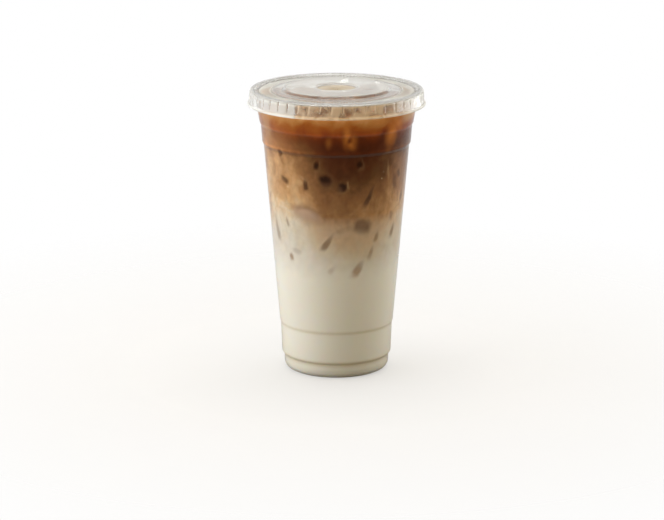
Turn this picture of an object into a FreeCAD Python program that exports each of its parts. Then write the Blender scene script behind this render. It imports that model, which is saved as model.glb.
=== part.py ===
"""Iced milk coffee in a clear take-away cup with a flat lid: a FreeCAD macro.

Millimetres, +Z up. The origin is the centre of the cup's foot, on the surface that the cup stands on.
Pieces: the thin-walled cup, the press-on lid, and the drink as three layers that run through it:
milk below, a blend of milk and coffee in the middle, coffee on top.
"""

import FreeCAD, Part
import math
import os

import Sketcher

DIMENSIONS = {
    # cup: a thermoformed shell whose side is a cone with two stacking rings low down and two near the rim
    "cup_wall": 0.5,
    "floor_thickness": 0.8,
    "foot_ring_inner": 23.4,
    "foot_dome_radius": 21.0,
    "foot_dome_rise": 3.0,
    "foot_side_radius": 30.2,
    "foot_round": 4.5,
    "foot_height": 8.4,
    "step_rise": 1.6,
    "low_band_radius": 31.6,
    "low_band_top_radius": 32.25,
    "low_band_height": 27.2,
    "cone_base_radius": 32.8,
    "cone_top_radius": 41.75,
    "cone_height": 132.6,
    "high_band_radius": 42.6,
    "high_band_top_radius": 43.4,
    "high_band_height": 144.2,
    "neck_radius": 44.1,
    "neck_top_radius": 46.9,
    "neck_height": 160.9,
    "rim_radius": 49.0,
    "rim_height": 164.0,
    "rim_round": 1.4,
    "rim_inner_round": 0.55,
    "soft_round": 1.2,
    # lid: a shallow shell with a fluted skirt, a moat inside its crest and a raised middle with a straw well
    "lid_wall": 0.45,
    "lip_radius": 51.0,
    "lip_height": 155.7,
    "lip_thickness": 0.7,
    "skirt_foot_radius": 50.1,
    "skirt_foot_height": 157.5,
    "skirt_top_radius": 49.65,
    "crest_height": 164.45,
    "crest_round": 1.7,
    "crest_inner_radius": 46.2,
    "moat_outer_radius": 44.6,
    "moat_inner_radius": 38.4,
    "moat_height": 162.6,
    "shelf_outer_radius": 36.6,
    "shelf_inner_radius": 31.2,
    "shelf_height": 163.7,
    "plateau_radius": 29.5,
    "plateau_height": 165.3,
    "well_radius": 11.6,
    "well_floor_radius": 10.8,
    "well_height": 164.1,
    "lid_soft_round": 0.5,
    "slit_length": 15.0,
    "slit_width": 0.4,
    "flute_count": 48,
    "flute_width": 2.4,
    "flute_depth": 0.35,
    "flute_bottom": 158.4,
    "flute_top": 162.4,
    # drink: the level of its surface, and of the two soft borders between its layers
    "drink_level": 154.5,
    "milk_level": 84.0,
    "milk_tilt": 8.0,
    "milk_wave": 2.4,
    "blend_level": 122.0,
    "blend_tilt": 5.0,
    "blend_wave": 2.0,
    "border_span": 120.0,
}


class Size:
    """A length together with the spreadsheet formula that gives it."""

    def __init__(self, value, formula):
        self.value = value
        self.formula = formula

    def __add__(self, other):
        return Size(self.value + other.value, f"({self.formula} + {other.formula})")

    def __sub__(self, other):
        return Size(self.value - other.value, f"({self.formula} - {other.formula})")

    def __truediv__(self, divisor):
        return Size(self.value / divisor, f"({self.formula} / {divisor})")


class Sizes:
    """The driving dimensions: one spreadsheet cell each, read back by its alias."""

    def __init__(self, document, dimensions):
        self.sheet = document.addObject("Spreadsheet::Sheet", "sizes")
        for row, (alias, value) in enumerate(dimensions.items(), start=1):
            self.sheet.set(f"A{row}", alias)
            self.sheet.set(f"B{row}", str(value))
            self.sheet.setAlias(f"B{row}", alias)
        document.recompute()

    def __getattr__(self, alias):
        return Size(float(getattr(self.sheet, alias)), f"sizes.{alias}")


doc = FreeCAD.newDocument("iced_coffee")
s = Sizes(doc, DIMENSIONS)
ZERO = Size(0.0, "0")


# ---------------------------------------------------------------- sketches and turned bodies


def new_sketch(body, name, role):
    """A sketch on the origin plane of the body that has this role."""
    sketch = body.newObject("Sketcher::SketchObject", name)
    plane = next(feature for feature in body.Origin.OriginFeatures if feature.Role == role)
    sketch.AttachmentSupport = [(plane, "")]
    sketch.MapMode = "FlatFace"
    return sketch


def draw_polygon(sketch, corners):
    """A closed outline whose corners, pairs of sizes along X and Y, are bound to the sheet."""
    points = [FreeCAD.Vector(x.value, y.value, 0) for x, y in corners]
    count = len(points)
    edges = [sketch.addGeometry(Part.LineSegment(points[i], points[(i + 1) % count])) for i in range(count)]
    for i, edge in enumerate(edges):
        sketch.addConstraint(Sketcher.Constraint("Coincident", edges[i - 1], 2, edge, 1))
        pin_point(sketch, edge, "DistanceX", -2, corners[i][0])
        pin_point(sketch, edge, "DistanceY", -1, corners[i][1])


def pin_point(sketch, edge, kind, axis, size):
    """Holds an edge's start at a signed distance from one axis of the sketch."""
    if size is ZERO:
        sketch.addConstraint(Sketcher.Constraint("PointOnObject", edge, 1, axis))
        return
    index = sketch.addConstraint(Sketcher.Constraint(kind, -1, 1, edge, 1, size.value))
    sketch.setExpression(f"Constraints[{index}]", size.formula)


def ring_edges(body, corners):
    """The names of the body's circular edges that pass through these corners."""
    names = []
    for number, edge in enumerate(body.Shape.Edges, start=1):
        curve = edge.Curve
        if curve.TypeId != "Part::GeomCircle":
            continue
        if any(math.hypot(curve.Radius - radius.value, curve.Center.z - height.value) < 1e-4
               for radius, height in corners):
            names.append(f"Edge{number}")
    return names


def turned_body(label, corners):
    """A half section turned about the vertical axis. A corner is (radius, height[, rounding])."""
    body = doc.addObject("PartDesign::Body", label)
    body.Label = label
    sketch = new_sketch(body, f"{label}_section", "XZ_Plane")
    draw_polygon(sketch, [corner[:2] for corner in corners])
    doc.recompute()
    turn = body.newObject("PartDesign::Revolution", f"{label}_turn")
    turn.Profile = sketch
    turn.ReferenceAxis = (sketch, ["V_Axis"])
    turn.Angle = 360.0
    doc.recompute()
    roundings = {corner[2].formula: corner[2] for corner in corners if len(corner) == 3}
    for formula, rounding in roundings.items():
        rounded = [corner[:2] for corner in corners if len(corner) == 3 and corner[2].formula == formula]
        base = body.Tip
        fillet = body.newObject("PartDesign::Fillet", f"{label}_round_{len(body.Group)}")
        fillet.Base = (base, ring_edges(base, rounded))
        fillet.setExpression("Radius", formula)
        doc.recompute()
    return body


# ---------------------------------------------------------------- cup and what fills it


def cup_side(inset):
    """The side of the cup from foot to neck, moved in towards the axis by inset."""
    return [
        (s.foot_side_radius - inset, s.foot_height, s.soft_round),
        (s.low_band_radius - inset, s.foot_height + s.step_rise, s.soft_round),
        (s.low_band_top_radius - inset, s.low_band_height, s.soft_round),
        (s.cone_base_radius - inset, s.low_band_height + s.step_rise, s.soft_round),
        (s.cone_top_radius - inset, s.cone_height, s.soft_round),
        (s.high_band_radius - inset, s.cone_height + s.step_rise, s.soft_round),
        (s.high_band_top_radius - inset, s.high_band_height, s.soft_round),
        (s.neck_radius - inset, s.high_band_height + s.step_rise, s.soft_round),
    ]


def cup_inside():
    """The inside of the cup from the middle of its floor up to the neck."""
    return [
        (ZERO, s.foot_dome_rise + s.floor_thickness),
        (s.foot_dome_radius, s.foot_dome_rise + s.floor_thickness, s.soft_round),
        (s.foot_ring_inner, s.floor_thickness, s.soft_round),
        (s.foot_side_radius - s.cup_wall, s.floor_thickness, s.foot_round - s.cup_wall),
        *cup_side(s.cup_wall),
    ]


def make_cup():
    outside = [
        (ZERO, s.foot_dome_rise),
        (s.foot_dome_radius, s.foot_dome_rise, s.soft_round),
        (s.foot_ring_inner, ZERO),
        (s.foot_side_radius, ZERO, s.foot_round),
        *cup_side(ZERO),
        (s.neck_top_radius, s.neck_height),
        (s.rim_radius, s.neck_height, s.rim_round),
        (s.rim_radius, s.rim_height, s.rim_round),
    ]
    inside = [
        *cup_inside(),
        (s.neck_top_radius - s.cup_wall, s.neck_height, s.soft_round),
        (s.neck_top_radius - s.cup_wall, s.rim_height, s.rim_inner_round),
    ]
    return turned_body("cup", outside + inside[::-1])


def neck_radius_at(height):
    """The inside radius of the neck at a height, on the straight line from its foot to its top."""
    foot = s.high_band_height + s.step_rise
    climb = f"(({height.formula} - {foot.formula}) / ({s.neck_height.formula} - {foot.formula}))"
    share = (height.value - foot.value) / (s.neck_height.value - foot.value)
    spread = s.neck_top_radius - s.neck_radius
    return s.neck_radius - s.cup_wall + Size(spread.value * share, f"({spread.formula} * {climb})")


def make_filling():
    """Everything inside the cup up to the drink's surface, before it is parted into layers."""
    surface = [(neck_radius_at(s.drink_level), s.drink_level), (ZERO, s.drink_level)]
    return turned_body("filling", cup_inside() + surface)


# ---------------------------------------------------------------- layers of the drink


def border_height(x, y, level, tilt, wave):
    """The height of an uneven border: high on the left, with a few gentle swells."""
    span = s.cone_top_radius.value
    swell = math.sin(3.1 * x / span + 0.9) * math.cos(2.6 * y / span - 0.5)
    swell += 0.5 * math.sin(4.7 * y / span + 2.0 * x / span)
    return level.value - tilt.value * x / span + wave.value * swell


def make_above(label, level, tilt, wave):
    """A block that holds everything above an uneven border between two layers."""
    steps = 12
    span = s.border_span.value
    marks = [span * (i / steps - 0.5) for i in range(steps + 1)]
    grid = [[FreeCAD.Vector(x, y, border_height(x, y, level, tilt, wave)) for y in marks] for x in marks]
    surface = Part.BSplineSurface()
    surface.interpolate(grid)
    above = doc.addObject("Part::Feature", label)
    above.Shape = surface.toShape().extrude(FreeCAD.Vector(0, 0, s.rim_height.value))
    return above


def combine(kind, label, base, tool):
    """A named boolean of two objects of the document."""
    result = doc.addObject(kind, label)
    result.Base = base
    result.Tool = tool
    result.Label = label
    return result


def make_layers(filling):
    above_milk = make_above("above_milk", s.milk_level, s.milk_tilt, s.milk_wave)
    above_blend = make_above("above_blend", s.blend_level, s.blend_tilt, s.blend_wave)
    milk = combine("Part::Cut", "milk", filling, above_milk)
    not_milk = combine("Part::Common", "not_milk", filling, above_milk)
    blend = combine("Part::Cut", "milk_coffee_blend", not_milk, above_blend)
    coffee = combine("Part::Common", "coffee", not_milk, above_blend)
    return [milk, blend, coffee]


# ---------------------------------------------------------------- lid


def lid_section():
    """The lid's top from the lip to the middle, then its underside back to the lip."""
    wall = s.lid_wall
    soft = s.lid_soft_round
    top = [
        (s.lip_radius, s.lip_height),
        (s.lip_radius, s.lip_height + s.lip_thickness),
        (s.skirt_foot_radius, s.skirt_foot_height),
        (s.skirt_top_radius, s.crest_height, s.crest_round),
        (s.crest_inner_radius, s.crest_height, soft),
        (s.moat_outer_radius, s.moat_height, soft),
        (s.moat_inner_radius, s.moat_height, soft),
        (s.shelf_outer_radius, s.shelf_height, soft),
        (s.shelf_inner_radius, s.shelf_height, soft),
        (s.plateau_radius, s.plateau_height, soft),
        (s.well_radius, s.plateau_height, soft),
        (s.well_floor_radius, s.well_height),
        (ZERO, s.well_height),
    ]
    underside = [
        (s.lip_radius - s.lip_thickness, s.lip_height),
        (s.skirt_foot_radius - wall, s.skirt_foot_height),
        (s.skirt_top_radius - wall, s.crest_height - wall, s.crest_round - wall),
        (s.crest_inner_radius + wall, s.crest_height - wall),
        (s.moat_outer_radius + wall, s.moat_height - wall, soft),
        (s.moat_inner_radius - wall, s.moat_height - wall, soft),
        (s.shelf_outer_radius - wall, s.shelf_height - wall, soft),
        (s.shelf_inner_radius - wall, s.shelf_height - wall, soft),
        (s.plateau_radius - wall, s.plateau_height - wall, soft),
        (s.well_radius + wall, s.plateau_height - wall, soft),
        (s.well_floor_radius + wall, s.well_height - wall),
        (ZERO, s.well_height - wall),
    ]
    return top + underside[::-1]


def add_flutes(body):
    """Upright ridges, each a small triangle in plan, all the way round the skirt."""
    root = s.skirt_top_radius - s.lid_wall / 2
    half = s.flute_width / 2
    sketch = new_sketch(body, "flute_section", "XY_Plane")
    sketch.setExpression("AttachmentOffset.Base.z", s.flute_bottom.formula)
    draw_polygon(sketch, [(root, ZERO - half), (s.skirt_foot_radius + s.flute_depth, ZERO), (root, half)])
    doc.recompute()
    flute = body.newObject("PartDesign::Pad", "flute")
    flute.Profile = sketch
    flute.setExpression("Length", (s.flute_top - s.flute_bottom).formula)
    doc.recompute()
    ring = body.newObject("PartDesign::PolarPattern", "flute_ring")
    ring.Originals = [flute]
    ring.Axis = (sketch, ["N_Axis"])
    ring.Angle = 360.0
    ring.setExpression("Occurrences", s.flute_count.formula)
    body.Tip = ring
    doc.recompute()


def cut_slit(body):
    """The crossed slit for a straw in the floor of the well."""
    length = s.slit_length / 2
    width = s.slit_width / 2
    sketch = new_sketch(body, "slit_section", "XY_Plane")
    sketch.setExpression("AttachmentOffset.Base.z", s.plateau_height.formula)
    outline = [
        (length, width), (width, width), (width, length), (ZERO - width, length),
        (ZERO - width, width), (ZERO - length, width), (ZERO - length, ZERO - width),
        (ZERO - width, ZERO - width), (ZERO - width, ZERO - length), (width, ZERO - length),
        (width, ZERO - width), (length, ZERO - width),
    ]
    draw_polygon(sketch, outline)
    sketch.AttachmentOffset = FreeCAD.Placement(sketch.AttachmentOffset.Base,
                                                FreeCAD.Rotation(FreeCAD.Vector(0, 0, 1), 45))
    doc.recompute()
    slit = body.newObject("PartDesign::Pocket", "slit")
    slit.Profile = sketch
    slit.setExpression("Length", (s.plateau_height - s.moat_height).formula)
    doc.recompute()


def make_lid():
    body = turned_body("lid", lid_section())
    add_flutes(body)
    cut_slit(body)
    return body


# ---------------------------------------------------------------- assembly, tests and files


def test_pieces(pieces):
    """Stops if an object of the document failed, or a piece holds no sound shape."""
    for item in doc.Objects:
        if "Invalid" in item.State or "Error" in item.State:
            raise RuntimeError(f"{item.Label}: {item.State}")
    for piece in pieces:
        if piece.Shape.isNull() or not piece.Shape.isValid() or len(piece.Shape.Solids) != 1:
            raise RuntimeError(f"{piece.Label}: not one sound solid")


def write_pieces(pieces):
    os.makedirs("parts", exist_ok=True)
    for piece in pieces:
        shape = piece.Shape
        box = shape.optimalBoundingBox(False)
        print(f"{piece.Label}: {len(shape.Solids)} solid, {shape.Volume / 1000:.2f} ml, "
              f"z {box.ZMin:.2f} to {box.ZMax:.2f}, radius {box.XMax:.2f}")
        shape.exportStep(f"parts/{piece.Label}.step")


cup = make_cup()
layers = make_layers(make_filling())
lid = make_lid()
doc.recompute()
pieces = [cup, *layers, lid]
test_pieces(pieces)
write_pieces(pieces)
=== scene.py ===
"""Iced milk coffee in a clear plastic cup with a flat clear lid.

Metres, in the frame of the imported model: +Z up, the cup's foot on the floor at the origin.
Lengths are written in millimetres and turned into metres by MM where the meshes are made.
"""

import math
import random

import bpy
import numpy as np
from mathutils import Euler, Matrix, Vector, noise


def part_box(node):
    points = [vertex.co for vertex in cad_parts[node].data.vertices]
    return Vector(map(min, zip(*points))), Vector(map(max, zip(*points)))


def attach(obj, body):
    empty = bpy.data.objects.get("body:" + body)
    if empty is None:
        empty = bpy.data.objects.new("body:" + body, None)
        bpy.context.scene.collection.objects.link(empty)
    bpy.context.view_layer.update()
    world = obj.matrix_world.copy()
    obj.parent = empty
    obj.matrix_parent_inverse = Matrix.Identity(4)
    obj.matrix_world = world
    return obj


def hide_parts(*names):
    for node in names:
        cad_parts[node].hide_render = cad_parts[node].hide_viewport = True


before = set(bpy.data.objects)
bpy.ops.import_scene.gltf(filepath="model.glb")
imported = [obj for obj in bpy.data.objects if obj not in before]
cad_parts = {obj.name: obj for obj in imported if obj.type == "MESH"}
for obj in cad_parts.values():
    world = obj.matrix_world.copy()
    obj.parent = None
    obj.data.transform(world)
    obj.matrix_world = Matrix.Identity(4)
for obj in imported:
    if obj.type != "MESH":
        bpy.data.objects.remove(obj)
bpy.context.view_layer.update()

MM = 0.001

# the cup: its sheet, the dome and the standing ring of its foot, and its curled rim
CUP_WALL = 0.5
FLOOR_THICKNESS = 0.8
SOFT = 1.2
DOME_RADIUS, DOME_RISE = 21.0, 3.0
FOOT_RING_INNER, FOOT_RADIUS, FOOT_ROUND = 23.4, 30.2, 4.5
RIM_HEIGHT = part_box("cup")[1].z / MM
CURL_RADIUS = 1.1
CURL_MIDDLE = 47.7
CURL_FOOT = RIM_HEIGHT - CURL_RADIUS - 0.3
# corners of its side, (radius, height): foot, low band, long cone, high band and the foot of the neck
CUP_SIDE = [
    (FOOT_RADIUS, 8.4), (31.6, 10.0), (32.25, 27.2), (32.8, 28.8),
    (41.75, 132.6), (42.6, 134.2), (43.4, 144.2), (44.1, 145.8),
]
NECK_TOP = (46.9, 160.9)

# the lid: its sheet, then its folds from the straw well outwards
LID_WALL = 0.45
FOLD = 0.5
WELL_RADIUS, WELL_EDGE, WELL_FLOOR = 10.8, 11.6, 164.1
PLATEAU_RADIUS, PLATEAU_HEIGHT = 29.5, 165.3
SHELF_INNER, SHELF_OUTER, SHELF_HEIGHT = 31.2, 36.6, 163.7
MOAT_INNER, MOAT_OUTER, MOAT_HEIGHT = 38.4, 44.6, 162.6
CREST_INNER, CREST_OUTER, CREST_HEIGHT, CREST_ROUND = 46.2, 49.65, 164.45, 1.7
SKIRT_FOOT_RADIUS, SKIRT_FOOT_HEIGHT = 50.1, 157.5
LIP_RADIUS, LIP_TOP, LIP_HEIGHT, LIP_THICKNESS = 51.0, 156.4, 155.7, 0.7
# every point of the skirt is further out than this
SKIRT_INSIDE = 48.4
FLUTES, FLUTE_DEPTH, FLUTE_FOOT, FLUTE_TOP = 48, 0.55, 157.2, 162.9
RIBS, RIB_HEIGHT = 144, 0.85

# the drink and its ice
DRINK_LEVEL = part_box("coffee")[1].z / MM
DRINK_INTO_WALL = 0.2
MILK_TOP = 60.0
ICE_TOP = 161.6
ICE_GAP = 0.6

# for every random draw
SEED = 7

# columns of points round each turned piece
CUP_TURNS = 360
DRINK_TURNS = 320
LID_TURNS = 720


# ---------------------------------------------------------------- outlines


def rounded(corners, steps=5):
    """Points along a line of corners. A corner is (radius, height) or (radius, height, rounding)."""
    points = []
    for i, corner in enumerate(corners):
        here = Vector(corner[:2])
        if len(corner) == 2:
            points.append(here)
            continue
        into = (Vector(corners[i - 1][:2]) - here).normalized()
        out = (Vector(corners[i + 1][:2]) - here).normalized()
        half = into.angle(out) / 2
        reach = corner[2] / math.tan(half)
        centre = here + (into + out).normalized() * (corner[2] / math.sin(half))
        first = here + into * reach - centre
        last = here + out * reach - centre
        sweep = first.angle(last)
        for step in range(steps + 1):
            share = step / steps
            spoke = (first * math.sin((1 - share) * sweep) + last * math.sin(share * sweep)) / math.sin(sweep)
            points.append(centre + spoke)
    return points


def spaced(points, step):
    """The same line with points no further apart than step."""
    line = [points[0]]
    for a, b in zip(points, points[1:]):
        count = max(1, math.ceil((b - a).length / step))
        line += [a.lerp(b, i / count) for i in range(1, count + 1)]
    return line


def cup_side(inset):
    """The side of the cup from its foot to its neck, moved in by inset."""
    return [(radius - inset, height, SOFT) for radius, height in CUP_SIDE]


def cup_inside(inset, lift):
    """The inside of the cup from the middle of its floor to its neck."""
    return [
        (0, DOME_RISE + lift),
        (DOME_RADIUS, DOME_RISE + lift, SOFT),
        (FOOT_RING_INNER, lift, SOFT),
        (FOOT_RADIUS - inset, lift, FOOT_ROUND - inset),
        *cup_side(inset),
    ]


def neck_radius(height, inset):
    """The radius of the neck, a straight cone from the top of the side towards the rim."""
    (foot_radius, foot_height), (top_radius, top_height) = CUP_SIDE[-1], NECK_TOP
    return foot_radius + (top_radius - foot_radius) * (height - foot_height) / (top_height - foot_height) - inset


def cone_radius(height):
    """About the wall's radius at a height on its long cone."""
    return 33.0 + (height - 28.8) * 0.0862


# ---------------------------------------------------------------- meshes


def new_piece(name, vertices, faces, materials):
    """A smooth-shaded mesh object that rides on the part's one body."""
    mesh = bpy.data.meshes.new(name)
    mesh.from_pydata(vertices, [], faces)
    mesh.update()
    mesh.shade_smooth()
    for material in materials:
        mesh.materials.append(material)
    piece = bpy.data.objects.new(name, mesh)
    bpy.context.scene.collection.objects.link(piece)
    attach(piece, "root")
    return piece


def lathe(name, outline, turns, materials, push=None, frost=None, closed=False):
    """Turns an outline about the Z axis. Its ends lie on the axis, unless it is a closed loop.

    The outline runs with the solid on its left. push(radius, height, angle) gives the change of radius and
    height of each point, and frost(radius, height, angle) a number to store on it.
    """
    poles = [] if closed else [outline[0], outline[-1]]
    rings = outline if closed else outline[1:-1]
    radius = np.array([point[0] for point in rings])[:, None]
    height = np.array([point[1] for point in rings])[:, None]
    angle = (np.arange(turns) * math.tau / turns)[None, :]
    radius, height, angle = np.broadcast_arrays(radius, height, angle)
    whiteness = frost(radius, height, angle).reshape(-1) if frost else None
    if push:
        more_radius, more_height = push(radius, height, angle)
        radius = radius + more_radius
        height = height + more_height
    grid = np.stack([radius * np.sin(angle), -radius * np.cos(angle), height], axis=-1).reshape(-1, 3)
    vertices = [tuple(point) for point in grid * MM]
    count = len(rings)
    spans = range(count) if closed else range(count - 1)
    faces = []
    for ring in spans:
        low = ring * turns
        high = (ring + 1) % count * turns
        for i in range(turns):
            j = (i + 1) % turns
            faces.append((low + i, low + j, high + j, high + i))
    for pole, ring in zip(poles, (0, count - 1)):
        tip = len(vertices)
        vertices.append((0, 0, pole[1] * MM))
        start = ring * turns
        for i in range(turns):
            j = (i + 1) % turns
            faces.append((tip, start + j, start + i) if ring == 0 else (start + i, start + j, tip))
    piece = new_piece(name, vertices, faces, materials)
    if frost:
        store(piece, "frost", whiteness)
    return piece


def store(piece, name, values):
    """Keeps one number for each point of a mesh, for its material to read."""
    attribute = piece.data.attributes.new(name, "FLOAT", "POINT")
    attribute.data.foreach_set("value", np.asarray(values, dtype=np.float32))


def mesh_points(piece):
    """The points of a piece, in metres."""
    points = np.zeros(len(piece.data.vertices) * 3)
    piece.data.vertices.foreach_get("co", points)
    return points.reshape(-1, 3)


def wall_coordinates(points):
    """Angle about the axis, height and radius, in degrees and millimetres, of points in metres."""
    azimuth = np.degrees(np.arctan2(points[:, 0], -points[:, 1]))
    return azimuth, points[:, 2] / MM, np.hypot(points[:, 0], points[:, 1]) / MM


# ---------------------------------------------------------------- node helpers


class Nodes:
    """A node tree with short calls for making and linking nodes."""

    def __init__(self, tree):
        self.tree = tree
        tree.nodes.clear()

    def add(self, kind, inputs=None, **settings):
        node = self.tree.nodes.new(kind)
        for key, value in settings.items():
            setattr(node, key, value)
        for key, value in (inputs or {}).items():
            if isinstance(value, bpy.types.NodeSocket):
                self.tree.links.new(value, node.inputs[key])
            else:
                node.inputs[key].default_value = value
        return node

    def math(self, operation, a, b=0.0, c=0.0, clamp=False):
        return self.add("ShaderNodeMath", {0: a, 1: b, 2: c}, operation=operation, use_clamp=clamp).outputs[0]

    def rise(self, value, start, span):
        """A number that goes from 0 to 1 while the value crosses a span."""
        return self.math("DIVIDE", self.math("SUBTRACT", value, start), span, clamp=True)

    def swing(self, noise, size, middle=0.0):
        """Noise, which is 0 to 1, spread over a size about a middle."""
        return self.math("MULTIPLY_ADD", self.math("SUBTRACT", noise, 0.5), size, middle)

    def position(self):
        return self.add("ShaderNodeTexCoord").outputs["Object"]

    def axis(self, vector, name):
        return self.add("ShaderNodeSeparateXYZ", {0: vector}).outputs[name]

    def level(self, position):
        """The height of a position, in millimetres."""
        return self.math("DIVIDE", self.axis(position, "Z"), MM)

    def bump(self, height, strength, distance):
        return self.add("ShaderNodeBump", {"Strength": strength, "Distance": distance, "Height": height}).outputs[0]

    def stored(self, name):
        """A number stored on the mesh's points."""
        return self.add("ShaderNodeAttribute", attribute_name=name).outputs["Fac"]

    def rays(self):
        """The light path, and whether a ray comes to the camera directly or straight through clear pieces."""
        rays = self.add("ShaderNodeLightPath")
        straight = self.math("LESS_THAN", rays.outputs["Glossy Depth"], 0.5)
        through = self.math("MULTIPLY", rays.outputs["Is Transmission Ray"], straight)
        return rays, self.math("MAXIMUM", rays.outputs["Is Camera Ray"], through)

    def noise(self, vector, scale, detail=3.0, distortion=0.0, roughness=0.5):
        inputs = {"Vector": vector, "Scale": scale, "Detail": detail, "Distortion": distortion,
                  "Roughness": roughness}
        return self.add("ShaderNodeTexNoise", inputs).outputs["Fac"]

    def ramp(self, factor, stops, interpolation="LINEAR"):
        node = self.add("ShaderNodeValToRGB", {"Fac": factor})
        node.color_ramp.interpolation = interpolation
        elements = node.color_ramp.elements
        while len(elements) < len(stops):
            elements.new(0.5)
        for element, (position, colour) in zip(elements, stops):
            element.position = position
            element.color = (*colour, 1)
        return node.outputs["Color"]

    def mix(self, factor, a, b, blend="MIX"):
        node = self.add("ShaderNodeMix", data_type="RGBA", blend_type=blend)
        for socket, value in zip((node.inputs[0], node.inputs[6], node.inputs[7]), (factor, a, b)):
            if isinstance(value, bpy.types.NodeSocket):
                self.tree.links.new(value, socket)
            else:
                socket.default_value = value if isinstance(value, float) else (*value, 1)
        return node.outputs[2]

    def mix_shader(self, factor, a, b):
        return self.add("ShaderNodeMixShader", {0: factor, 1: a, 2: b}).outputs[0]

    def surface(self, shader, output="ShaderNodeOutputMaterial"):
        self.add(output, {"Surface": shader})


def srgb(red, green, blue):
    """A screen colour, 0 to 255, as the linear colour that a shader takes."""
    shares = (channel / 255 for channel in (red, green, blue))
    return tuple(share / 12.92 if share <= 10 / 255 else ((share + 0.055) / 1.055) ** 2.4 for share in shares)


def new_material(name):
    material = bpy.data.materials.new(name)
    material.use_nodes = True
    return material, Nodes(material.node_tree)


# ---------------------------------------------------------------- materials


def clear_plastic(name, haze, roughness, film=(0.91, 0.92, 0.88), frosted=False):
    """Thin clear sheet: refracts and reflects, lets the lamps through, with a breath of milky haze.

    A frosted sheet takes its haze, with painted reflections and highlight lines, from the number stored on its points,
    and pale tan blots of painted light from a second stored number.
    """
    material, nodes = new_material(name)
    position = nodes.position()
    clear = nodes.add("ShaderNodeBsdfPrincipled", {
        "Base Color": (0.975, 0.975, 0.965, 1), "Roughness": roughness, "IOR": 1.5, "Transmission Weight": 1.0,
        "Normal": nodes.bump(nodes.noise(position, 220, detail=2), 0.012, 0.0004),
    }).outputs[0]
    cloudy = nodes.math("ADD", nodes.noise(position, 60, detail=4), 0.5)
    # how much diffuse film shows: haze, and on the lid also painted sheen and painted light
    haze_and_sheen = nodes.math("MULTIPLY", cloudy, nodes.stored("frost") if frosted else haze, clamp=True)
    film_colour = (*film, 1)
    if frosted:
        # pale tan blots on the skirt's front: painted light standing in for the lit ice and coffee behind it
        blots = nodes.ramp(nodes.noise(position, 170, detail=1, distortion=0.6),
                           [(0.36, (0.12, 0.12, 0.12)), (0.48, (0.7, 0.7, 0.7)), (0.62, (1.15, 1.15, 1.15))])
        lit_blots = nodes.math("MULTIPLY", nodes.stored("lit_blots"), blots)
        lit_blot_share = nodes.math("MULTIPLY", nodes.stored("lit_blots"), 2.5, clamp=True)
        film_colour = nodes.mix(lit_blot_share, film, srgb(238, 212, 180))
        haze_and_sheen = nodes.math("ADD", haze_and_sheen, lit_blots, clamp=True)
    milky = nodes.add("ShaderNodeBsdfDiffuse", {"Color": film_colour}).outputs[0]
    body = nodes.mix_shader(haze_and_sheen, clear, milky)
    window = nodes.add("ShaderNodeBsdfTransparent", {"Color": (0.96, 0.96, 0.955, 1)}).outputs[0]
    rays = nodes.add("ShaderNodeLightPath")
    lamp_ray = nodes.math("MAXIMUM", rays.outputs["Is Shadow Ray"], rays.outputs["Is Diffuse Ray"])
    nodes.surface(nodes.mix_shader(lamp_ray, body, window))
    return material


# heights in millimetres and the colours there: the mixture, the glow of its clear top edge, and the dark and
# the pale sides of ice seen through the wall
MIXTURE = [
    (58, srgb(240, 236, 222)),
    (66, srgb(236, 231, 218)),
    (72, srgb(230, 221, 204)),
    (77, srgb(225, 208, 180)),
    (82, srgb(219, 191, 153)),
    (87, srgb(212, 173, 128)),
    (92, srgb(204, 162, 116)),
    (97, srgb(188, 144, 98)),
    (101, srgb(170, 126, 84)),
    (105, srgb(156, 113, 73)),
    (112, srgb(144, 101, 64)),
    (117, srgb(130, 90, 55)),
    (122, srgb(112, 75, 43)),
    (130, srgb(98, 58, 31)),
    (140, srgb(86, 42, 18)),
]
TOP_GLOW = [
    (137, srgb(92, 38, 10)),
    (142.5, srgb(124, 54, 14)),
    (147, srgb(160, 78, 22)),
    (150, srgb(184, 102, 32)),
    (153, srgb(212, 146, 78)),
    (156, srgb(236, 180, 116)),
]
ICE_WINDOWS = [
    (64, srgb(166, 120, 74)),
    (78, srgb(112, 78, 54)),
    (90, srgb(118, 90, 66)),
    (101, srgb(140, 106, 78)),
    (108, srgb(84, 56, 38)),
    (116, srgb(56, 30, 18)),
    (128, srgb(50, 24, 9)),
    (143, srgb(96, 40, 10)),
]
ICE_FACES = [
    (64, srgb(186, 172, 156)),
    (78, srgb(150, 138, 127)),
    (90, srgb(162, 142, 124)),
    (101, srgb(196, 166, 142)),
    (108, srgb(142, 112, 84)),
    (116, srgb(104, 72, 50)),
    (128, srgb(88, 52, 30)),
    (143, srgb(150, 80, 26)),
]
# painted shade and light at the moulded rings of the wall: multipliers of the drink's colour by height, below 1 a
# painted dark band at a ring, above 1 a painted light line
RING_PAINTED_SHADE_AND_LIGHT = [
    (6.5, (1.0, 1.0, 1.0)),
    (8.6, (0.82, 0.77, 0.66)),
    (9.6, (0.86, 0.82, 0.72)),
    (11.4, (1.0, 1.0, 1.0)),
    (26.0, (1.0, 1.0, 1.0)),
    (27.6, (0.89, 0.86, 0.78)),
    (29.0, (0.99, 0.98, 0.96)),
    (30.2, (1.0, 1.0, 1.0)),
    (131.6, (1.0, 1.0, 1.0)),
    (133.0, (0.70, 0.62, 0.56)),
    (133.9, (0.78, 0.70, 0.62)),
    (134.8, (1.32, 1.30, 1.26)),
    (136.4, (1.0, 1.0, 1.0)),
    (144.6, (1.0, 1.0, 1.0)),
    (145.6, (1.30, 1.28, 1.22)),
    (147.0, (1.0, 1.0, 1.0)),
]
# how much the milk just below the mixture greys what is above it
GREY_MILK = [(60, 0.0), (74, 0.3), (88, 0.42), (93, 0.3), (98, 0.0)]


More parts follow.
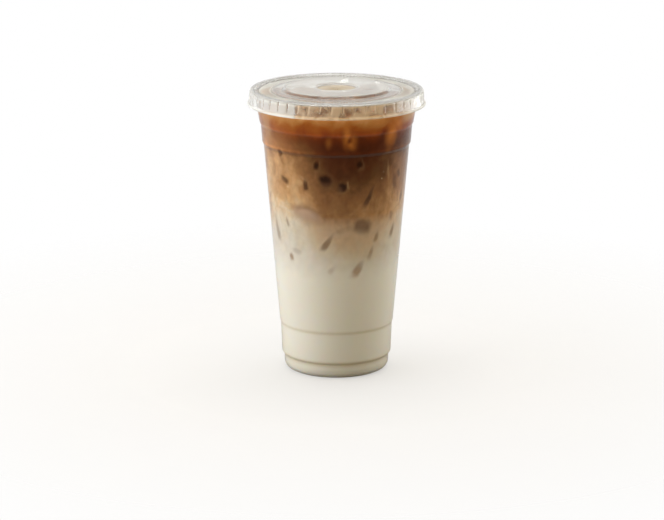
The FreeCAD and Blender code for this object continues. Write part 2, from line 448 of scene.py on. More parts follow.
def height_ramp(nodes, height, colours):
    """Colours by height: the first and last of the list are the ends of the ramp."""
    low, high = colours[0][0], colours[-1][0]
    stops = [((level - low) / (high - low), colour) for level, colour in colours]
    return nodes.ramp(nodes.rise(height, low, high - low), stops)


def height_mask(nodes, height, stops):
    """A number by height, from a list of heights and numbers."""
    return height_ramp(nodes, height, [(level, (value, value, value)) for level, value in stops])


def stirred_liquid(nodes, level, upright):
    """The layers' colours by height, stirred by broad billows and fine wisps above the calm milk."""
    strength = nodes.stored("strength")
    billows = nodes.swing(nodes.noise(upright, 44, detail=3, distortion=0.45, roughness=0.5), 40.0)
    wisps = nodes.swing(nodes.noise(upright, 140, detail=4, distortion=0.8, roughness=0.55), 18.0)
    loose = nodes.rise(level, 54.0, 40.0)
    above_ring = nodes.rise(level, 133.0, 2.0)
    calmer = nodes.math("MULTIPLY_ADD", above_ring, -0.55, 1.0)
    stir = nodes.math("MULTIPLY", nodes.math("MULTIPLY", nodes.math("ADD", billows, wisps), loose), calmer)
    leaned = nodes.math("MULTIPLY_ADD", nodes.math("SUBTRACT", level, MILK_TOP), strength, MILK_TOP)
    sunk = nodes.math("MULTIPLY", nodes.math("MULTIPLY_ADD", strength, 44.0, -36.0), loose)
    liquid = height_ramp(nodes, nodes.math("ADD", nodes.math("ADD", leaned, sunk), stir), MIXTURE)
    mottle = nodes.math("SUBTRACT", nodes.noise(upright, 230, detail=4, distortion=0.6, roughness=0.6), 0.5)
    mottle = nodes.math("MULTIPLY_ADD", nodes.math("MULTIPLY", mottle, loose), 0.7, 1.0)
    liquid = nodes.add("ShaderNodeVectorMath", {0: liquid, 3: mottle}, operation="SCALE").outputs[0]
    liquid = nodes.mix(height_mask(nodes, level, GREY_MILK), liquid, srgb(204, 195, 180))
    return nodes.mix(above_ring, liquid, nodes.mix(1.0, liquid, (1.06, 0.92, 0.82), "MULTIPLY"))


def lit_top(nodes, liquid, level, upright):
    """The liquid with light in its clear top, and the stored streams of light and pale patches."""
    streaks = nodes.noise(upright, 80, detail=3, distortion=0.8)
    glow_level = nodes.swing(streaks, 12.0, level)
    edge = nodes.rise(glow_level, 138.5, 8.0)
    strong = nodes.math("MULTIPLY_ADD", nodes.stored("strength"), 1.1, -0.15)
    share = nodes.math("MULTIPLY", edge, strong, clamp=True)
    liquid = nodes.mix(share, liquid, height_ramp(nodes, glow_level, TOP_GLOW))
    liquid = nodes.mix(nodes.stored("glow"), liquid, srgb(204, 126, 54))
    # pale patches; the broad one on the left of the top band is painted light
    return nodes.mix(nodes.stored("halo"), liquid, srgb(206, 168, 122))


def bubble_specks(nodes, position):
    """1 in a small speck in some of the cells, and 0 elsewhere."""
    cells = nodes.add("ShaderNodeTexVoronoi", {"Vector": position, "Scale": 150.0})
    speck = nodes.math("LESS_THAN", cells.outputs["Distance"], 0.055)
    draw = nodes.add("ShaderNodeSeparateColor", {0: cells.outputs["Color"]}).outputs[0]
    return nodes.math("MULTIPLY", speck, nodes.math("GREATER_THAN", draw, 0.72))


def drink_material():
    """Milk below, coffee above and a cloudy mixture between, with windows where ice meets the wall."""
    material, nodes = new_material("drink_layers")
    position = nodes.position()
    upright = nodes.add("ShaderNodeVectorMath", {0: position, 1: (1, 1, 0.8)}, operation="MULTIPLY").outputs[0]
    level = nodes.level(position)
    dark, pale = height_ramp(nodes, level, ICE_WINDOWS), height_ramp(nodes, level, ICE_FACES)
    colour = lit_top(nodes, stirred_liquid(nodes, level, upright), level, upright)
    colour = nodes.mix(nodes.stored("window"), colour, nodes.mix(nodes.stored("tone"), dark, pale))
    # painted shade and painted light lines at the moulded rings
    colour = nodes.mix(1.0, colour, height_ramp(nodes, level, RING_PAINTED_SHADE_AND_LIGHT), "MULTIPLY")
    colour = nodes.mix(bubble_specks(nodes, position), colour, srgb(236, 214, 186))
    body = nodes.add("ShaderNodeBsdfPrincipled", {
        "Base Color": colour, "Roughness": 0.55, "Specular IOR Level": 0.0,
        "Subsurface Weight": 0.3, "Subsurface Radius": (1.0, 0.55, 0.28), "Subsurface Scale": 0.004,
    }).outputs[0]
    nodes.surface(body)
    return material


def surface_material():
    """The open surface of the coffee: dark, wet, with paler patches of thin foam."""
    material, nodes = new_material("coffee_surface")
    patches = nodes.noise(nodes.position(), 90, detail=6, distortion=1.0)
    colour = nodes.ramp(patches, [(0.35, srgb(112, 60, 24)), (0.55, srgb(158, 98, 50)), (0.7, srgb(206, 156, 104))])
    body = nodes.add("ShaderNodeBsdfPrincipled", {
        "Base Color": colour, "Roughness": 0.3, "IOR": 1.33, "Specular IOR Level": 0.15,
        "Normal": nodes.bump(patches, 0.3, 0.0008),
    }).outputs[0]
    nodes.surface(body)
    return material


def ice_material():
    """Wet ice in coffee: clear at its faces, cloudy in its core, stained brown below."""
    material, nodes = new_material("ice_wet")
    position = nodes.position()
    stain = height_ramp(nodes, nodes.level(position), [
        (152, srgb(120, 68, 32)), (156.5, srgb(190, 136, 88)), (161, srgb(238, 222, 200)),
    ])
    bump = nodes.bump(nodes.noise(position, 330, detail=5, roughness=0.7), 0.3, 0.0006)
    cloudy = nodes.add("ShaderNodeBsdfPrincipled", {"Base Color": stain, "Roughness": 0.2, "Normal": bump})
    clear = nodes.add("ShaderNodeBsdfPrincipled", {
        "Base Color": (0.96, 0.90, 0.80, 1), "Roughness": 0.03, "IOR": 1.31, "Transmission Weight": 1.0,
        "Normal": bump,
    })
    core = nodes.noise(position, 110, detail=3)
    share = nodes.math("MULTIPLY", nodes.math("SUBTRACT", core, 0.48), 5.0, clamp=True)
    nodes.surface(nodes.mix_shader(nodes.math("MULTIPLY", share, 0.75), clear.outputs[0], cloudy.outputs[0]))
    return material


def floor_material():
    """Pale floor that keeps the object's shadow and fades out into the white backdrop."""
    material, nodes = new_material("floor_pale")
    position = nodes.position()
    distance = nodes.add("ShaderNodeVectorMath", {0: position}, operation="LENGTH").outputs["Value"]
    grain = nodes.noise(position, 30, detail=2)
    pale = nodes.ramp(grain, [(0.3, (0.93, 0.93, 0.93)), (0.7, (0.94, 0.94, 0.935))])
    rays, seen = nodes.rays()
    behind = nodes.math("DIVIDE", nodes.axis(position, "Y"), 0.1, clamp=True)
    back_floor = nodes.math("MULTIPLY", behind, 0.2)
    seen = nodes.math("MAXIMUM", seen, nodes.math("MULTIPLY", rays.outputs["Is Glossy Ray"], back_floor))
    paint = nodes.add("ShaderNodeBsdfDiffuse", {"Color": nodes.mix(seen, (0.30, 0.28, 0.25), pale)}).outputs[0]
    white = nodes.add("ShaderNodeEmission", {"Color": (1.0, 1.0, 1.0, 1.0), "Strength": 1.0}).outputs[0]
    paint = nodes.mix_shader(nodes.math("MULTIPLY", seen, 0.45), paint, white)
    clear = nodes.add("ShaderNodeBsdfTransparent").outputs[0]
    nodes.surface(nodes.mix_shader(nodes.rise(distance, 0.12, 0.24), paint, clear))
    return material


# ---------------------------------------------------------------- cup


def curl(radius, first, last):
    """Points on an arc of the rim's curl, from one angle to the other, in degrees from straight out."""
    steps = 14
    level = RIM_HEIGHT - CURL_RADIUS
    angles = [math.radians(first + (last - first) * step / steps) for step in range(steps + 1)]
    return [Vector((CURL_MIDDLE + radius * math.cos(a), level + radius * math.sin(a))) for a in angles]


def make_cup():
    """The cup's sheet, up its side to a rim that is curled over and hollow."""
    outside = [
        (0, DOME_RISE), (DOME_RADIUS, DOME_RISE, SOFT), (FOOT_RING_INNER, 0), (FOOT_RADIUS, 0, FOOT_ROUND),
        *cup_side(0), (CURL_MIDDLE - CURL_RADIUS + CUP_WALL, CURL_FOOT),
    ]
    inside = [*cup_inside(CUP_WALL, FLOOR_THICKNESS), (CURL_MIDDLE - CURL_RADIUS, CURL_FOOT)]
    rim = curl(CURL_RADIUS - CUP_WALL, 180, -130) + curl(CURL_RADIUS, -130, 180)
    outline = spaced(rounded(outside) + rim + rounded(inside)[::-1], 4.0)
    cup = lathe("cup_shell", outline, CUP_TURNS, [clear_plastic("cup_plastic", 0.006, 0.01)])
    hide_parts("cup")


# ---------------------------------------------------------------- lid


# how fogged the skirt of the lid is: azimuth and haze, round the cup. Its peak on the left, from -54 to -29 degrees, is
# a painted reflection of the left softbox
FOG_AND_LEFT_SHEEN = [
    (-180, 0.10), (-120, 0.14), (-82, 0.26), (-64, 0.20), (-54, 0.32), (-42, 0.38), (-29, 0.40), (-27, 0.05),
    (24, 0.03), (38, 0.14), (52, 0.26), (74, 0.32), (95, 0.24), (130, 0.12), (180, 0.10),
]
# how much of the skirt carries pale tan blots, painted light that stands in for the lit ice and coffee behind it:
# azimuth and share
LIT_BLOTS_BY_AZIMUTH = [(-28, 0.0), (-26.5, 0.36), (24, 0.44), (36, 0.30), (50, 0.12), (62, 0.0)]
# folds of the lid that look whiter than its flats, partly stress-whitened sheet and partly painted highlight lines
# along the crest and the lip: radius, height, width and haze
FOLDS = [
    (11.4, 165.3, 0.5, 0.16), (29.4, 165.2, 0.5, 0.16), (31.3, 163.8, 0.4, 0.10), (36.7, 163.6, 0.7, 0.12),
    (46.2, 164.4, 0.5, 0.06), (48.9, 164.3, 0.5, 0.16), (49.75, 163.0, 0.4, 0.16), (51.0, 156.1, 0.9, 0.34),
]


def flute_share(angle, height):
    """How far into a groove of the skirt a point is, 0 to 1. Each is a V that narrows towards the lip."""
    share = np.clip((height - FLUTE_FOOT) / (FLUTE_TOP - FLUTE_FOOT), 0, 1)
    half_width = 0.04 + 0.36 * share
    across = np.abs(np.mod(angle * FLUTES / math.tau, 1.0) - 0.5) * 2
    return np.clip(1 - across / half_width, 0, 1)


def flute_depth(angle, height):
    """How deep the grooves are, fading out at both ends."""
    fade = np.clip((height - FLUTE_FOOT) / 0.8, 0, 1) * np.clip((163.3 - height) / 0.9, 0, 1)
    return FLUTE_DEPTH * flute_share(angle, height) * fade


def rib_share(angle, radius):
    """Fine spokes round the moat inside the crest, 0 to 1."""
    fade = np.clip((radius - 36.9) / 1.2, 0, 1) * np.clip((45.2 - radius) / 1.2, 0, 1)
    return (0.5 + 0.5 * np.cos(angle * RIBS)) * fade


def lid_push(radius, height, angle):
    """Presses the flutes into the skirt, raises the spokes of the moat's upper face, and warps the middle."""
    on_skirt = (radius > SKIRT_INSIDE) & (height < 164.2)
    inward = np.where(on_skirt, flute_depth(angle, height), 0.0)
    on_top = height > np.interp(radius, [36, 38, 44.6, 46.2], [163.45, 162.4, 162.4, 163.6])
    upward = np.where(on_top, RIB_HEIGHT * rib_share(angle, radius), 0.0)
    warp = 0.10 * np.sin(2 * angle + 0.6) + 0.07 * np.sin(3 * angle + 2.0)
    return -inward, upward + warp * np.clip((46 - radius) / 30, 0, 1)


def lid_frost(radius, height, angle):
    """How milky the lid is, as haze and as painted light: its flats by radius, its skirt by azimuth with a painted
    reflection of the left softbox on the left, and more on its folds, ribs and grooves, where it paints light lines.
    """
    azimuth = np.mod(np.degrees(angle) + 180, 360) - 180
    flat = np.interp(radius, [12, 29, 29.9, 30.8, 31.5, 38, 45, 46.5],
                     [0.20, 0.22, 0.02, 0.02, 0.15, 0.02, 0.02, 0.10])
    skirt = (radius > SKIRT_INSIDE) & (height < 163.6)
    groove = np.clip(flute_share(angle, height) * 1.5, 0, 1) * np.clip((height - 157.6) / 0.8, 0, 1) * skirt
    # the skirt's haze, with a painted reflection of the left softbox on its left
    fog_and_sheen = np.interp(azimuth, *zip(*FOG_AND_LEFT_SHEEN)) * (1 - 0.95 * groove)
    # the rib crests are whiter: painted light lines
    frost = np.where(skirt, fog_and_sheen, flat) + 0.5 * rib_share(angle, radius)
    # the folds are whiter: partly stress-whitened sheet, partly painted highlight lines
    for fold_radius, fold_height, width, haze in FOLDS:
        far = np.hypot(radius - fold_radius, height - fold_height) / width
        frost = frost + haze * np.clip(1.3 - far, 0, 1)
    # the grooves are whiter: partly stress-whitened sheet, partly painted bright strokes
    return frost + 0.30 * np.sin(math.pi * groove)


def lid_section():
    """The lid's sheet as a closed loop: from the well over its top to the lip, and back underneath."""
    w = LID_WALL
    top = [
        (WELL_EDGE, PLATEAU_HEIGHT, FOLD), (PLATEAU_RADIUS, PLATEAU_HEIGHT, FOLD),
        (SHELF_INNER, SHELF_HEIGHT, FOLD), (SHELF_OUTER, SHELF_HEIGHT, FOLD),
        (MOAT_INNER, MOAT_HEIGHT, FOLD), (MOAT_OUTER, MOAT_HEIGHT, FOLD),
        (CREST_INNER, CREST_HEIGHT, FOLD), (CREST_OUTER, CREST_HEIGHT, CREST_ROUND),
        (SKIRT_FOOT_RADIUS, SKIRT_FOOT_HEIGHT, 0.4), (LIP_RADIUS, LIP_TOP, 0.2), (LIP_RADIUS, LIP_HEIGHT, 0.2),
    ]
    underside = [
        (LIP_RADIUS - LIP_THICKNESS, LIP_HEIGHT), (SKIRT_FOOT_RADIUS - w, SKIRT_FOOT_HEIGHT),
        (CREST_OUTER - w, CREST_HEIGHT - w, CREST_ROUND - w), (CREST_INNER + w, CREST_HEIGHT - w),
        (MOAT_OUTER + w, MOAT_HEIGHT - w, FOLD), (MOAT_INNER - w, MOAT_HEIGHT - w, FOLD),
        (SHELF_OUTER - w, SHELF_HEIGHT - w, FOLD), (SHELF_INNER - w, SHELF_HEIGHT - w, FOLD),
        (PLATEAU_RADIUS - w, PLATEAU_HEIGHT - w, FOLD), (WELL_EDGE + w, PLATEAU_HEIGHT - w, FOLD),
        (WELL_RADIUS + w, WELL_FLOOR - w),
    ]
    return [(WELL_RADIUS, WELL_FLOOR), *top, *underside]


def make_lid(plastic):
    """The lid's sheet, with its haze and painted sheen, and its blots of painted light, stored on its points."""
    outline = spaced(rounded(lid_section(), steps=3), 1.35)[::-1]
    lid = lathe("lid_shell", outline, LID_TURNS, [plastic], lid_push, lid_frost, closed=True)
    azimuth, height, radius = wall_coordinates(mesh_points(lid))
    on_skirt = (radius > SKIRT_INSIDE) & (height < 163.0)
    store(lid, "lit_blots", np.where(on_skirt, np.interp(azimuth, *zip(*LIT_BLOTS_BY_AZIMUTH)), 0.0))
    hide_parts("lid")


def make_flaps(plastic):
    """The floor of the straw well: four leaves between the arms of a crossed slit, each a little bent."""
    vertices, faces = [], []
    rings, columns = 18, 24
    reach, slit = 11.0, 7.5
    for quarter, bend in enumerate((-0.6, -2.2, -1.5, -0.9)):
        for side in (0.0, -LID_WALL):
            for ring in range(rings + 1):
                radius = 0.25 + (reach - 0.25) * ring / rings
                gap = math.asin(min(0.7, 0.16 / radius)) if radius < slit else 0.0
                lift = bend * max(0.0, 1 - radius / (slit + 1.5)) ** 1.4
                for column in range(columns + 1):
                    share = column / columns
                    angle = math.radians(45 + 90 * quarter) + gap + (math.pi / 2 - 2 * gap) * share
                    sag = lift * math.sin(math.pi * share) ** 0.5 if 0 < share < 1 else lift * 0.1
                    vertices.append((radius * math.sin(angle) * MM, -radius * math.cos(angle) * MM,
                                     (WELL_FLOOR + side + sag) * MM))
        first = quarter * 2 * (rings + 1) * (columns + 1)
        under = first + (rings + 1) * (columns + 1)
        row = columns + 1
        for ring in range(rings):
            for column in range(columns):
                a = ring * row + column
                faces.append((first + a, first + a + row, first + a + row + 1, first + a + 1))
                faces.append((under + a, under + a + 1, under + a + row + 1, under + a + row))
            for edge in (0, columns):
                a = ring * row + edge
                quad = (first + a, first + a + row, under + a + row, under + a)
                faces.append(quad[::-1] if edge == 0 else quad)
        for column in range(columns):
            a = column
            b = rings * row + column
            faces.append((first + a, first + a + 1, under + a + 1, under + a))
            faces.append((first + b, under + b, under + b + 1, first + b + 1))
    flaps = new_piece("lid_straw_flaps", vertices, faces, [plastic])


# ---------------------------------------------------------------- ice against the wall

# azimuth in degrees (0 faces the viewer, positive to the right), height, width, tallness, spin in degrees,
# strength of the dark window and of the pale edge beside it
FRONT_WINDOWS = [
    (-50, 132.4, 3.6, 3.6, 20, 0.75, 0.2),
    (-16, 128.4, 2.4, 5.6, -8, 0.95, 0.08),
    (18, 129.6, 2.6, 5.8, 5, 0.9, 0.12),
    (10, 142.9, 1.9, 3.4, -10, 0.7, 0.0),
    (-47, 117.0, 6.0, 3.0, -28, 0.7, 0.2),
    (-26, 116.2, 2.4, 5.4, 10, 0.8, 0.15),
    (-9, 118.8, 5.8, 6.2, 35, 1.0, 0.06),
    (4, 115.4, 4.4, 4.4, -20, 0.95, 0.12),
    (28, 109.3, 2.2, 11.5, -24, 0.85, 0.15),
    (60, 119.3, 3.0, 4.6, 10, 0.5, 0.2),
    (69, 105.8, 3.0, 6.0, 0, 0.7, 0.1),
    (55, 115.0, 3.2, 8.0, 18, 0.4, 0.0),
    (53, 95.3, 3.6, 4.6, -20, 0.5, 0.1),
    (57, 86.5, 2.4, 8.0, -16, 0.6, 0.0),
    (-47, 92.9, 1.6, 5.6, 14, 0.5, 0.0),
    (-63, 87.0, 2.8, 12.5, 12, 0.5, 0.0),
    (-8, 82.6, 2.8, 10.5, -34, 0.7, 0.0),
    (-45, 71.7, 2.6, 3.6, 10, 0.7, 0.0),
    (37, 84.8, 2.0, 5.6, -14, 0.5, 0.0),
    (32, 75.6, 2.2, 7.0, -20, 0.45, 0.0),
    (20, 66.7, 3.6, 9.0, -34, 0.65, 0.0),
    (-4, 66.5, 2.2, 5.0, -40, 0.25, 0.0),
]
# pale patches, most beside the ice, in the same numbers without the last; the broad one at -64 degrees, on the left
# side of the coffee's top band, is painted light
PALE_PATCHES = [
    (-32, 116.8, 4.6, 4.6, -30, 0.75),
    (-28, 119.6, 4.4, 1.0, -40, 0.6),
    (9, 116.5, 1.2, 5.5, 10, 0.45),
    (-36, 110.5, 2.0, 5.0, -25, 0.35),
    (46, 122.0, 1.6, 11.0, 8, 0.35),
    (-64, 147.0, 10.0, 18.0, 0, 0.4),
    (64, 152.0, 14.0, 6.0, 0, 0.55),
]
# broad caps of ice just behind a film of milk: azimuth, height, width, tallness, spin, strength, paleness
CAPS = [
    (-27, 97.5, 18.5, 13.0, -8, 0.9, 1.0),
    (22, 91.0, 11.0, 10.0, -14, 0.9, 0.2),
    (8, 90.0, 12.0, 4.0, 18, 0.3, 0.7),
    (-38, 75.5, 6.0, 4.0, -15, 0.3, 0.9),
]
# where light comes through the clear top of the coffee, in the same numbers as PALE_PATCHES
GLOWS = [
    (7.5, 146.5, 4.6, 15.0, 3, 0.9),
    (11, 140.0, 4.6, 6.0, 20, 0.8),
    (-6, 141.0, 3.6, 6.0, -6, 0.35),
    (51, 150.0, 10.0, 7.0, -30, 1.0),
    (46, 146.0, 8.0, 17.0, -8, 0.9),
    (12, 142.0, 5.0, 9.0, 0, 0.6),
    (33, 152.5, 12.0, 3.4, 0, 0.5),
    (110, 147.0, 5.0, 12.0, 5, 0.6),
    (165, 145.0, 4.5, 15.0, -5, 0.6),
    (215, 148.0, 8.0, 8.0, 10, 0.6),
    (262, 145.0, 4.5, 14.0, 5, 0.5),
]
# how far the milk has risen into the coffee: azimuth and share, round the cup
MILKY = [
    (-180, 0.45), (-140, 0.15), (-100, 0.6), (-70, 1.0), (-50, 0.88), (-25, 0.5), (-8, 0.1), (8, 0.0), (24, 0.06),
    (40, 0.28), (56, 0.38), (75, 0.5), (110, 0.35), (145, 0.8), (180, 0.45),
]


def side_windows(rng):
    """More windows for the rest of the cup, scattered as those at the front are."""
    windows = []
    for _ in range(58):
        azimuth = rng.uniform(78, 292)
        height = rng.uniform(66, 136)
        slim = rng.random() < 0.55
        width = rng.uniform(1.4, 2.4) if slim else rng.uniform(2.4, 4.4)
        tall = rng.uniform(4.5, 11.0) if slim else rng.uniform(3.2, 7.2)
        strength = rng.uniform(0.3, 0.85)
        windows.append((azimuth, height, width, tall, rng.uniform(-40, 40), strength, rng.uniform(0.1, 0.6)))
    return windows


def side_caps(rng):
    """More caps for the rest of the cup, in the same numbers as CAPS."""
    return [
        (azimuth + rng.uniform(-8, 8), rng.uniform(84, 104), rng.uniform(9, 15), rng.uniform(8, 12),
         rng.uniform(-20, 20), rng.uniform(0.3, 0.6), rng.uniform(0.3, 1.0))
        for azimuth in (95, 138, 180, 226, 268)
    ]


def offsets(place, mark, wobble, share=1.0):
    """Offsets on the wall from a mark's middle, turned by its spin, in its half sizes and with an uneven edge."""
    azimuth, height, radius = place
    middle, level, width, tallness, spin = mark[:5]
    across = np.radians(np.mod(azimuth - middle + 180, 360) - 180) * radius
    up = height - level
    spin = math.radians(spin)
    along = (across * math.cos(spin) + up * math.sin(spin)) / (width / 2)
    above = (up * math.cos(spin) - across * math.sin(spin)) / (tallness / 2)
    return along + share * wobble[:, 0], above + share * wobble[:, 1]


def boxed(along, above, power):
    """How far out a point is: 1 on the edge of a form that a higher power makes more like a box."""
    return (np.abs(along) ** power + np.abs(above) ** power) ** (1 / power)


def smooth_step(value, low, high):
    share = np.clip((value - low) / (high - low), 0, 1)
    return share * share * (3 - 2 * share)


def paint_ovals(layer, ovals, place, wobble, share, outer, inner):
    """A layer with soft ovals added, full inside one distance from their middle and gone outside another."""
    for oval in ovals:
        far = np.hypot(*offsets(place, oval, wobble, share))
        layer = np.maximum(layer, oval[5] * smooth_step(-far, -outer, -inner))
    return layer


def paint_windows(layers, windows, place, wobble):
    """Adds dark windows with a paler side, and a pale edge in the liquid beside them."""
    for mark in windows:
        along, above = offsets(place, mark, wobble)
        slim = mark[3] > 1.7 * mark[2]
        if slim:
            along = along / np.clip(1 - 0.3 * above, 0.4, 1.5)
        far = boxed(along, above, 2.6)
        seen = mark[5] * smooth_step(-far, -1.6, -0.65)
        pale = 0.9 * smooth_step(above, -0.2, 1.1) if slim else 0.8 * smooth_step(-along - above, -0.3, 1.3)
        layers["tone"] = np.where(seen > layers["window"], pale, layers["tone"])
        layers["window"] = np.maximum(layers["window"], seen * (1 - 0.25 * pale))
        edge = smooth_step(far, 0.8, 1.35) * smooth_step(-far, -2.4, -1.3)
        beside = mark[6] * edge * smooth_step(along - 0.7 * above, -0.2, 1.4)
        layers["halo"] = np.maximum(layers["halo"], beside)


def paint_caps(layers, caps, place, wobble):
    """Adds broad caps that are pale below and darker along their top edge."""
    for mark in caps:
        along, above = offsets(place, mark, wobble, 0.3)
        far = boxed(along, above, 2.4)
        seen = mark[5] * smooth_step(-far, -1.35, -0.55) * smooth_step(above, -1.2, 0.1)
        pale = 1 - 0.8 * smooth_step(far, 0.35, 0.9) * smooth_step(above, -0.2, 0.7)
        layers["tone"] = np.where(seen > layers["window"], pale * mark[6], layers["tone"])
        layers["window"] = np.maximum(layers["window"], seen)


def paint_ice(drink, windows, caps):
    """Stores on the drink's points how much ice and light show through the wall, and how pale they are."""
    points = mesh_points(drink)
    place = azimuth, _, radius = wall_coordinates(points)
    coarse = np.array([noise.noise_vector(Vector(point) * 210) for point in points])
    fine = np.array([noise.noise_vector(Vector(point) * 620) for point in points])
    wobble = coarse * 0.34 + fine * 0.14
    layers = {name: np.zeros(len(points)) for name in ("tone", "window", "halo", "glow")}
    layers["halo"] = paint_ovals(layers["halo"], PALE_PATCHES, place, wobble, 1.0, 1.5, 0.4)
    paint_windows(layers, windows, place, wobble)
    paint_caps(layers, caps, place, wobble)
    layers["glow"] = paint_ovals(layers["glow"], GLOWS, place, wobble, 0.5, 1.7, 0.0)
    store(drink, "tone", layers["tone"])
    for name in ("window", "halo", "glow"):
        store(drink, name, np.where(radius > 20, layers[name], 0.0))
    store(drink, "strength", 1 - 0.38 * np.interp(azimuth, *zip(*MILKY)))


# ---------------------------------------------------------------- drink


def make_drink():
    """All the layers as one closed form that reaches just into the cup's wall."""
    inset = CUP_WALL - DRINK_INTO_WALL
    wall = neck_radius(DRINK_LEVEL + 0.8, inset)
    side = [*cup_inside(inset, FLOOR_THICKNESS - DRINK_INTO_WALL), (wall, DRINK_LEVEL + 0.8)]
    meniscus = [(wall - 0.5, DRINK_LEVEL + 0.45), (wall - 1.3, DRINK_LEVEL + 0.15), (wall - 3.0, DRINK_LEVEL)]
    outline = spaced(rounded(side, steps=3), 0.75)
    outline += spaced([outline[-1], *(Vector(point) for point in (*meniscus, (0, DRINK_LEVEL)))], 1.6)[1:]
    drink = lathe("drink_layers", outline, DRINK_TURNS, [drink_material(), surface_material()])
    for polygon in drink.data.polygons:
        if polygon.normal.z > 0.6 and polygon.center.z > (DRINK_LEVEL - 1) * MM:
            polygon.material_index = 1
    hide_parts("milk", "milk_coffee_blend", "coffee")
    return drink


# ---------------------------------------------------------------- ice


def ice_block(centre, size, turn, rng):
    """Points and faces of one ice cube with melted edges and slightly uneven faces."""
    power, cells = 7.0, 10
    seed = Vector((rng.uniform(0, 99), rng.uniform(0, 99), rng.uniform(0, 99)))
    rotation = turn.to_matrix()
    places, vertices, faces = {}, [], []

    def corner(point):
        key = tuple(round(c * cells) for c in point)
        if key not in places:
            length = sum(abs(c) ** power for c in point) ** (1 / power)
            melted = point / length * (1 + 0.045 * noise.noise(point * 1.9 + seed))
            local = Vector(m * s / 2 for m, s in zip(melted, size))
            places[key] = len(vertices)
            vertices.append((rotation @ local + centre) * MM)
        return places[key]

    for axis in range(3):
        for sign in (-1, 1):
            for i in range(cells):
                for j in range(cells):
                    quad = []
                    for di, dj in ((0, 0), (1, 0), (1, 1), (0, 1)):
                        point = [0.0, 0.0, 0.0]
                        point[axis] = float(sign)
                        point[(axis + 1) % 3] = 2 * (i + di) / cells - 1
                        point[(axis + 2) % 3] = 2 * (j + dj) / cells - 1
                        quad.append(corner(Vector(point)))
                    faces.append(tuple(quad if sign > 0 else quad[::-1]))
    return vertices, faces


def make_ice(windows, caps, rng):
    """Cubes that float at the surface, and cubes sunk against the wall behind every other window below 138 mm and
    behind each cap.
    """
    vertices, faces = [], []
    side = [corner[:2] for corner in cup_side(CUP_WALL)] + [(neck_radius(ICE_TOP, CUP_WALL), ICE_TOP)]
    wall, levels = zip(*side)

    def kept_in(point):
        """The point, or the nearest place that is clear of the wall and the lid."""
        height = min(point.z / MM, ICE_TOP)
        reach = math.hypot(point.x, point.y) / MM
        share = min(1.0, (float(np.interp(height, levels, wall)) - ICE_GAP) / max(reach, 1e-6))
        return Vector((point.x * share, point.y * share, height * MM))

    def put(centre, size, turn):
        points, quads = ice_block(Vector(centre), size, turn, rng)
        base = len(vertices)
        vertices.extend(kept_in(point) for point in points)
        faces.extend(tuple(base + i for i in quad) for quad in quads)

    for i in range(12):
        angle = math.tau * i / 12 + rng.uniform(-0.12, 0.12)
        size = [rng.uniform(12, 15) for _ in range(3)]
        reach = 44.0 - max(size) / 2 - rng.uniform(0, 3)
        turn = Euler((rng.uniform(-0.3, 0.3), rng.uniform(-0.3, 0.3), rng.uniform(-0.4, 0.4) + angle))
        put((reach * math.sin(angle), -reach * math.cos(angle), DRINK_LEVEL - 2.6 + rng.uniform(-1.4, 0.6)), size, turn)
    for i in range(7):
        angle = math.tau * i / 7 + 0.5
        put((20.5 * math.sin(angle), -20.5 * math.cos(angle), DRINK_LEVEL - 4.2 + rng.uniform(-1.5, 0.8)),
            [rng.uniform(13, 16) for _ in range(3)], Euler((rng.uniform(-0.3, 0.3), rng.uniform(-0.3, 0.3), angle)))
    put((1.0, 2.0, DRINK_LEVEL - 4.5), (15.5, 14.5, 15.0), Euler((0.2, -0.15, 0.4)))
    for azimuth, height, *_ in [*windows[::2], *caps]:
        if height > 138:
            continue
        angle = math.radians(azimuth)
        size = rng.uniform(14, 17)
        reach = cone_radius(height) - size * 0.70 - 0.8
        put((reach * math.sin(angle), -reach * math.cos(angle), height), (size, size, size),
            Euler((0.5, 0.3, -angle + math.pi / 4)))
    ice = new_piece("ice_cubes", vertices, faces, [ice_material()])


# ---------------------------------------------------------------- studio


def add_area(name, place, aim, width, height, power, colour=(1, 1, 1)):
    """A flat lamp at a place, turned to what it aims at, in metres and watts."""
    light = bpy.data.lights.new(name, "AREA")
    light.shape = "RECTANGLE"
    light.size, light.size_y = width, height
    light.energy = power
    light.color = colour
    lamp = bpy.data.objects.new(name, light)
    lamp.location = place
    lamp.rotation_euler = (Vector(aim) - Vector(place)).to_track_quat("-Z", "Y").to_euler()
    bpy.context.scene.collection.objects.link(lamp)
    return lamp


def make_world():
    """White to the camera and straight through clear plastic; reflections see pale grey behind and dark in front."""
    world = bpy.data.worlds.new("studio")
    bpy.context.scene.world = world
    world.use_nodes = True
    nodes = Nodes(world.node_tree)
    direction = nodes.add("ShaderNodeTexCoord").outputs["Generated"]
    front_to_back = nodes.math("MULTIPLY_ADD", nodes.axis(direction, "Y"), 0.5, 0.5)
    mirrored = nodes.ramp(front_to_back, [(0.3, (0.01, 0.01, 0.01)), (0.55, (0.12, 0.12, 0.12)),
                                          (0.8, (0.5, 0.5, 0.5)), (1.0, (0.75, 0.75, 0.75))])
    ambient = nodes.ramp(front_to_back, [(0.0, (0.45, 0.375, 0.25)), (1.0, (0.6, 0.59, 0.57))])
    rays, seen = nodes.rays()
    bounced = nodes.math("GREATER_THAN", rays.outputs["Glossy Depth"], 0.5)
    mirror = nodes.math("SUBTRACT", bounced, rays.outputs["Is Diffuse Ray"], clamp=True)
    colour = nodes.mix(mirror, ambient, mirrored)
    colour = nodes.mix(seen, colour, (1.0, 1.0, 1.0))
    background = nodes.add("ShaderNodeBackground", {"Color": colour, "Strength": 1.0}).outputs[0]
    nodes.surface(background, "ShaderNodeOutputWorld")


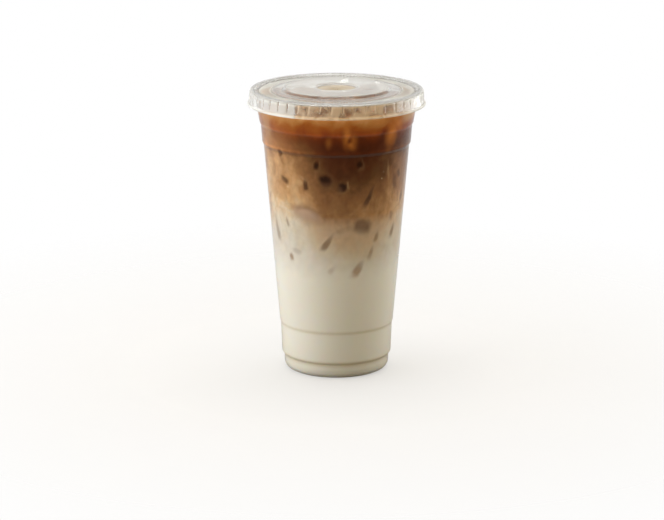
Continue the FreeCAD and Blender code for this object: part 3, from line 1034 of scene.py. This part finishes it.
def make_floor():
    """A disc under the cup that takes its shadow."""
    bpy.ops.mesh.primitive_circle_add(vertices=96, radius=0.5, fill_type="NGON")
    floor = bpy.context.object
    floor.name = "floor"
    floor.data.materials.append(floor_material())


def make_camera():
    """A long lens 1.57 m away and 0.46 m up, looking down a little at the cup."""
    data = bpy.data.cameras.new("camera")
    data.lens = 152.0
    data.sensor_width = 36.0
    camera = bpy.data.objects.new("camera", data)
    camera.location = (-0.0026, -1.574, 0.4647)
    camera.rotation_euler = (math.radians(90 - 14.31), 0, 0)
    bpy.context.scene.collection.objects.link(camera)
    bpy.context.scene.camera = camera


def make_studio():
    """The world, the floor and the lamps. The left softbox lights with one lamp and is reflected by a dimmer one."""
    make_world()
    make_floor()
    for name, power in (("softbox_left", 11.5), ("softbox_left_sheen", 7.6)):
        left = add_area(name, (-1.15, -0.17, 0.135), (0, 0, 0.12), 1.4, 0.46, power, (1.0, 1.03, 1.11))
        left.visible_glossy = name.endswith("sheen")
        left.visible_diffuse = not left.visible_glossy
    add_area("softbox_right", (1.12, 0.42, 0.135), (0, 0, 0.12), 1.4, 0.42, 6.6)
    top = add_area("softbox_top", (0, 0.1, 1.3), (0, 0, 0.1), 0.9, 0.9, 7.4)
    top.visible_glossy = False
    add_area("glint_well", (0.012, 1.10, 0.375), (0, 0, 0.165), 0.004, 0.002, 0.00007)
    add_area("glint_lid", (0.041, 1.14, 0.375), (0, 0, 0.165), 0.005, 0.002, 0.00007)
    scene = bpy.context.scene
    scene.view_settings.view_transform = "Standard"
    scene.cycles.max_bounces = 16
    scene.cycles.transmission_bounces = 14
    scene.cycles.transparent_max_bounces = 24


# ---------------------------------------------------------------- assembly

rng = random.Random(SEED)
# without this, noise_vector takes its offsets from the clock and no two runs are the same
noise.seed_set(SEED)
make_camera()
make_studio()
make_cup()
make_lid(clear_plastic("lid_plastic", 0.10, 0.03, frosted=True))
make_flaps(clear_plastic("lid_flap_plastic", 0.45, 0.03, film=srgb(222, 208, 182)))
drink = make_drink()
windows = FRONT_WINDOWS + side_windows(rng)
caps = CAPS + side_caps(rng)
paint_ice(drink, windows, caps)
make_ice(windows, caps, rng)

bpy.context.view_layer.update()
